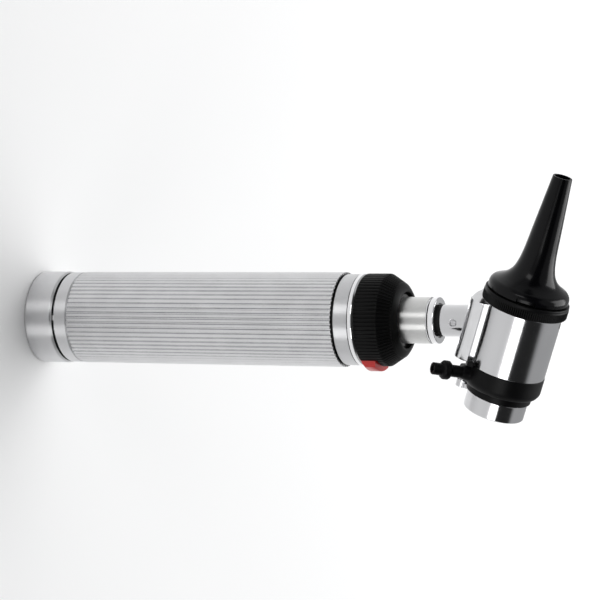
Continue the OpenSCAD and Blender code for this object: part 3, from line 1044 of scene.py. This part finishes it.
@dataclass
class Head:
    """The plated head: neck, lamp housing, tube and the black parts fixed to it."""

    neck_r: float = 5.0
    tube_r: float = 12.28
    back: float = -15.5
    front: float = 4.7
    housing_half: float = 9.0
    housing_reach: float = -15.6
    nipple_angle: float = 219.0
    nipple_at: float = -18.95
    frame_back: float = -22.3
    collar_back: float = -24.66
    pivot: float = -12.2

    def build(self) -> None:
        """Builds the fixed pieces of the head and dresses its inner nodes."""
        self._neck()
        self._housing()
        self._tube()
        self._rear_frame()
        self._nipple()
        for node, look in {
            "bayonet_pins": Look.STEEL,
            "neck_seal": Look.SEAL,
            "neck_screw": Look.STEEL,
            "lamp_base": Look.BRASS,
            "lamp_insulator": Look.IVORY,
            "lamp_bulb": Look.GLASS,
            "mirror_bracket": Look.MATT,
            "light_mirror": Look.MIRROR,
            "nose_cone": Look.MATT,
            "ring_screw": Look.DARK_STEEL_AND_PAINTED_SHADE,
            "lens_seal": Look.SEAL,
            "pivot_washer": Look.STEEL,
            "pivot_screw": Look.CHROME,
        }.items():
            Maker.dress_node(node, look)

    def _neck(self) -> None:
        """The neck with its plug below and a dimple for the screw."""
        r = self.neck_r
        corners = [
            (3.45, 127.0), (5.22, 127.0, 0.4), (5.22, 138.7, 0.1), (4.4, 138.7), (4.4, 140.5),
            (r, 140.5, 0.35), (r, 150.5), (3.45, 150.5),
        ]

        def dimple(theta: np.ndarray, rr: float, z: float) -> np.ndarray:
            """A round dimple that faces the viewer."""
            if rr < 4.9 or abs(z - 145.0) > 1.4:
                return np.zeros_like(theta)
            away = ((np.degrees(theta) - 266.0 + 180.0) % 360.0 - 180.0) * math.radians(1.0) * rr
            reach = np.hypot(away, z - 145.0)
            return -0.5 * np.clip((1.15 - reach) / 0.25, 0.0, 1.0)

        neck = Maker.turned("neck", corners, [Look.CHROME], relief=[dimple], segments=288,
                            extra=[143.6 + 0.14 * k for k in range(21)])
        Maker.hand_over(neck, "head", "neck_tube")

    def _outline(self) -> list[tuple[float, float]]:
        """Plan of the lamp housing: shallow arc outside, rounded corners, a groove by the tube."""
        half, reach, corner, crown = self.housing_half, self.housing_reach, 4.0, 20.0
        groove, lap, flat = half - 1.3, 0.3, 0.5
        root = -math.sqrt(self.tube_r**2 - groove**2) + lap
        side = [(root, -groove), (-10.1, -half + 0.75), (-10.45, -half)]
        turn = [
            (reach + corner - corner * math.sin(a), -half + corner - corner * math.cos(a))
            for a in np.linspace(0.0, math.pi / 2.0 - 0.35, 8)
        ]
        low = turn[-1][1]
        face = [
            (reach + (crown - math.sqrt(crown**2 - v * v)) * flat, v)
            for v in np.linspace(low + 0.4, 0.0, 9)
        ]
        lower = side + turn + face
        upper = [(u, -v) for u, v in lower[-2::-1]]
        edge = math.asin((half - 1.6) / self.tube_r)
        seat = [
            (-self.tube_r * math.cos(a) + lap, self.tube_r * math.sin(a))
            for a in np.linspace(edge, -edge, 9)
        ]
        return lower + upper + seat

    def _housing(self) -> None:
        """The lamp housing beside the tube."""
        housing = Maker.slab("lamp_column", self._outline(), -15.3, 4.0, [Look.SATIN_CHROME], ON_HEAD, 0.45)
        Maker.hand_over(housing, "head", "lamp_housing")

    def _tube(self) -> None:
        """The head's tube, with the small screw hole under the release ring."""
        r, back, front = self.tube_r, self.back, self.front
        corners = [
            (11.2, back), (r, back, 0.15), (r, front, 0.15), (10.6, front), (10.6, 2.4), (11.2, 2.4),
        ]
        hole = wedge_cut(0.0, 3.2, 2.2, 3.6, 0.9, 12.0)
        tube = Maker.turned("head_barrel", corners, [Look.CHROME], ON_HEAD, relief=[hole], segments=300,
                            extra=[2.19, 2.21, 3.59, 3.61])
        Maker.hand_over(tube, "head", "head_tube")

    def _rear_frame(self) -> None:
        """The black frame behind the tube: ring, stepped collar, hinge lug, boss and corner tab."""
        outer, collar = 12.4, 10.3
        corners = [
            (10.4, -12.6), (11.15, -12.6), (11.15, self.back - 0.05), (outer, self.back - 0.05, 0.12),
            (outer, -20.9, 0.8), (outer - 0.9, self.frame_back, 0.5), (collar, self.frame_back, 0.1),
            (collar, self.collar_back, 0.25), (8.8, self.collar_back, 0.1), (8.8, -23.0), (10.4, -21.4),
        ]
        ring = Maker.turned("frame_ring", corners, [Look.MATT], ON_HEAD)
        lug_corners = [(0.82, -23.6), (2.0, -23.6, 0.25), (2.0, -19.5, 0.3), (0.82, -19.5)]
        at_pivot = ON_HEAD @ Matrix.Translation((self.pivot, 0, 0))
        lug = Maker.turned("lug", lug_corners, [Look.MATT], at_pivot, 64)
        boss_corners = [(1.5, 11.2), (3.0, 11.2), (2.5, 12.6, 0.5), (2.05, 14.4, 0.2), (1.5, 14.4)]
        boss = Maker.turned("boss", boss_corners, [Look.MATT], self._nipple_place(), 64)
        tab = Maker.slab("tab", [(-9.7, -10.7), (-7.7, -10.7), (-7.7, -9.15), (-9.7, -9.15)],
                         self.back - 0.3, self.back + 1.2, [Look.MATT], ON_HEAD, 0.25)
        whole = Maker.join("rear_frame", [ring, lug, boss, tab])
        Maker.hand_over(whole, "head", "rear_housing")

    def _nipple_place(self) -> Matrix:
        """Returns the matrix that stands a turned shape on the nipple's axis."""
        turn = Matrix.Rotation(math.radians(self.nipple_angle), 4, "Z") @ Matrix.Rotation(math.pi / 2, 4, "Y")
        return ON_HEAD @ Matrix.Translation((0, 0, self.nipple_at)) @ turn

    def _nipple(self) -> None:
        """The hose nipple with its collar."""
        corners = [
            (1.0, 10.9), (1.9, 10.9), (1.9, 18.0, 0.15), (2.5, 18.3, 0.15), (2.95, 18.8, 0.25),
            (2.95, 20.4, 0.25), (2.45, 21.0, 0.15), (1.9, 21.2, 0.1), (1.9, 24.1, 0.3), (1.0, 24.1, 0.15),
        ]
        nipple = Maker.turned("nipple", corners, [Look.MATT], self._nipple_place(), 96)
        Maker.hand_over(nipple, "head", "hose_nipple")


@dataclass
class Front:
    """The release ring and the ear speculum."""

    ring_r: float = 13.4
    knurls: int = 124
    base: float = 9.0
    flange: float = 12.65
    tip: float = 47.2
    tip_r: float = 3.0

    def build(self) -> None:
        """Builds the release ring and the speculum."""
        self._ring()
        self._speculum()

    def _ring(self) -> None:
        """The release ring: fine knurl below, smooth lip above."""
        r = self.ring_r
        corners = [
            (11.35, 4.9), (r - 0.1, 4.9, 0.2), (r, 5.3, 0.1), (r, 7.6, 0.1), (r - 0.15, 7.95, 0.1),
            (r - 0.15, 8.8, 0.3), (11.96, 8.8, 0.15), (11.96, 6.4), (11.35, 6.4),
        ]
        ridges = Ridges(self.knurls, 0.3, 5.15, 7.7, 0.15, 13.0)
        ring = Maker.turned("release_knurl", corners, [Look.MATT], ON_HEAD, self.knurls * 8, [ridges],
                            extra=[5.6, 7.3], crease=50.0)
        Maker.hand_over(ring, "release", "release_ring")

    def _speculum(self) -> None:
        """The gloss black speculum: flared skirt with a notch, and a long cone."""
        outer = [
            (12.3, self.base), (self.flange, self.base + 0.2, 0.12), (self.flange, 10.5, 0.3),
            (12.4, 11.35, 0.3),
            (11.75, 12.1, 0.4), (10.5, 12.7, 0.6), (8.9, 13.6, 0.8), (7.55, 14.8, 0.9), (6.45, 16.5, 1.2),
            (5.65, 19.2, 2.0), (5.1, 22.8, 2.5), (4.35, 31.8, 3.0), (3.6, 40.4, 3.0),
            (self.tip_r, self.tip, 0.18),
        ]
        inner = [
            (self.tip_r - 0.55, self.tip, 0.15), (2.95, 40.4, 2.0), (3.55, 31.8, 2.0), (4.25, 22.3, 1.5),
            (4.75, 18.6, 1.0), (5.6, 15.9, 0.6), (6.8, 14.1, 0.5), (8.2, 12.9, 0.5), (10.2, 11.7, 0.4),
            (11.5, 11.0, 0.2), (11.5, self.base),
        ]
        notch = wedge_cut(282.5, 12.5, self.base - 0.1, 10.35, 0.75, 12.2)
        cone = Maker.turned("ear_cone", [*outer, *inner], [Look.GLOSS], ON_HEAD, 360, [notch],
                            extra=[10.34, 10.36], crease=34.0)
        Maker.hand_over(cone, "ear_speculum", "speculum")


@dataclass
class Eyepiece:
    """The swivelling magnifier."""

    radius: float = 9.6
    back: float = -30.35
    front: float = -24.8
    lens_r: float = 9.0
    pivot: float = -12.2

    def build(self) -> None:
        """Builds the rim and the lens."""
        r = self.radius
        corners = [
            (8.3, self.back, 0.2), (r, self.back, 0.35), (r, self.front, 0.15), (9.05, self.front),
            (9.05, -27.6), (8.3, -27.6),
        ]
        rim = Maker.turned("rim", corners, [Look.CHROME], ON_HEAD)
        at_pivot = ON_HEAD @ Matrix.Translation((self.pivot, 0, 0))
        barrel_corners = [
            (0.86, -25.6), (1.35, -25.6), (1.35, -26.4), (1.75, -26.4, 0.2), (1.75, -23.9, 0.2),
            (0.86, -23.9),
        ]
        barrel = Maker.turned("barrel", barrel_corners, [Look.CHROME], at_pivot, 64)
        web = Maker.slab("web", [(-11.0, -1.2), (-9.3, -1.2), (-9.3, 1.2), (-11.0, 1.2)], -26.4, -24.9,
                         [Look.CHROME], ON_HEAD, 0.15)
        whole = Maker.join("eye_rim", [rim, barrel, web])
        Maker.hand_over(whole, "eyepiece", "eyepiece_ring")
        self._lens()
        Maker.dress_node("lens_clip", Look.DARK_STEEL_AND_PAINTED_SHADE)

    def _lens(self) -> None:
        """The magnifier: flat behind, domed in front."""
        curve, top = 35.0, -24.95
        dome = [
            (r, top - curve + math.sqrt(curve**2 - r * r)) for r in np.linspace(0.0, self.lens_r, 14)
        ]
        corners = [*dome, (self.lens_r, -27.55, 0.1), (0.0, -27.55)]
        lens = Maker.turned("magnifier", corners, [Look.GLASS], ON_HEAD, 128, closed=False)
        Maker.hand_over(lens, "eyepiece", "lens")


# ---------------------------------------------------------------- studio


@dataclass(frozen=True)
class Lamp:
    """One soft rectangular lamp: where it stands, what it is aimed at, its size and watts."""

    name: str
    at: tuple[float, float, float]
    aim: tuple[float, float, float]
    width: float
    height: float
    power: float

    def build(self) -> None:
        """Adds the lamp to the scene."""
        data = bpy.data.lights.new(self.name, "AREA")
        data.shape, data.size, data.size_y, data.energy = "RECTANGLE", self.width, self.height, self.power
        lamp = bpy.data.objects.new(self.name, data)
        way = Vector(self.aim) - Vector(self.at)
        lamp.matrix_world = Matrix.Translation(self.at) @ way.to_track_quat("-Z", "Y").to_matrix().to_4x4()
        bpy.context.scene.collection.objects.link(lamp)


@dataclass
class Studio:
    """Camera, light and floor."""

    eye: tuple[float, float, float] = (-0.13950, -0.62476, 0.35618)
    right: tuple[float, float, float] = (0.07351, 0.37438, 0.92436)
    up: tuple[float, float, float] = (-0.97847, 0.20630, -0.00573)
    lens: float = 130.06
    floor_size: float = 6.0
    ambient: float = 0.42
    lamps: list[Lamp] = field(
        default_factory=lambda: [
            Lamp("key_box", (0.40, -1.05, 0.24), (0.0, 0.0, 0.14), 0.50, 0.46, 2.2),
            Lamp("side_box", (-0.74, -0.95, 0.25), (0.0, 0.0, 0.12), 0.45, 0.46, 2.0),
            Lamp("floor_box", (0.05, 0.75, 1.25), (0.05, 0.55, 0.0), 1.2, 1.2, 18.0),
        ]
    )

    def build(self) -> None:
        """Builds the camera, the floor, the lamps and the world."""
        self._camera()
        self._floor()
        self._world()
        for lamp in self.lamps:
            lamp.build()
        bpy.context.scene.view_settings.view_transform = "Standard"

    def _camera(self) -> None:
        """The camera at the viewing angle."""
        data = bpy.data.cameras.new("camera")
        data.lens, data.sensor_width = self.lens, 36.0
        data.clip_start, data.clip_end = 0.01, 50.0
        camera = bpy.data.objects.new("camera", data)
        right, up = Vector(self.right).normalized(), Vector(self.up).normalized()
        back = right.cross(up).normalized()
        up = back.cross(right)
        camera.matrix_world = Matrix.Translation(self.eye) @ Matrix((right, up, back)).transposed().to_4x4()
        bpy.context.scene.collection.objects.link(camera)
        bpy.context.scene.camera = camera

    def _floor(self) -> None:
        """A plain pale floor."""
        mesh = bmesh.new()
        bmesh.ops.create_grid(mesh, x_segments=1, y_segments=1, size=self.floor_size / 2)
        data = bpy.data.meshes.new("floor")
        mesh.to_mesh(data)
        mesh.free()
        material = bpy.data.materials.new("pale_floor")
        NodeNet(material).surface({"Base Color": (0.93, 0.93, 0.93, 1.0), "Roughness": 0.9})
        data.materials.append(material)
        floor = bpy.data.objects.new("floor", data)
        floor.location.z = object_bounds()[0].z - 0.0001
        bpy.context.scene.collection.objects.link(floor)
        floor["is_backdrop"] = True

    def _world(self) -> None:
        """Even grey surroundings, darker in a band high on the viewer's side."""
        world = bpy.data.worlds.new("studio")
        bpy.context.scene.world = world
        net = NodeNet(world)
        ray = net.add("ShaderNodeTexCoord").outputs["Generated"]
        parts = net.add("ShaderNodeSeparateXYZ", None, {0: ray}).outputs
        depth, height = ShaderMath(net, parts[1]), ShaderMath(net, parts[2])
        band = height.stepped(0.26, 0.31) * (1 - height.stepped(0.76, 0.82)) * (1 - depth.stepped(-0.2, 0.1))
        sockets = {"Color": (0.98, 0.99, 1.0, 1.0), "Strength": self.ambient * (1 - band * 0.95)}
        background = net.add("ShaderNodeBackground", None, sockets)
        net.add("ShaderNodeOutputWorld", None, {"Surface": background.outputs[0]})


def write_sizes() -> None:
    """Works out the CAD model's box and the visual model's box as plain lists, and keeps neither."""
    boxes = {"cad": CAD_BOUNDS, "visual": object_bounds()}
    plain = {name: [list(map(float, corner)) for corner in box] for name, box in boxes.items()}


def main() -> None:
    """Builds the studio and every sub-assembly in order."""
    logging.basicConfig(level=logging.INFO, format="%(name)s: %(message)s")
    for part in (Studio(), Handle(), Switch(), Connector(), Head(), Front(), Eyepiece()):
        LOG.info("building %s", type(part).__name__)
        part.build()
    write_sizes()


if __name__ == "__main__":
    main()
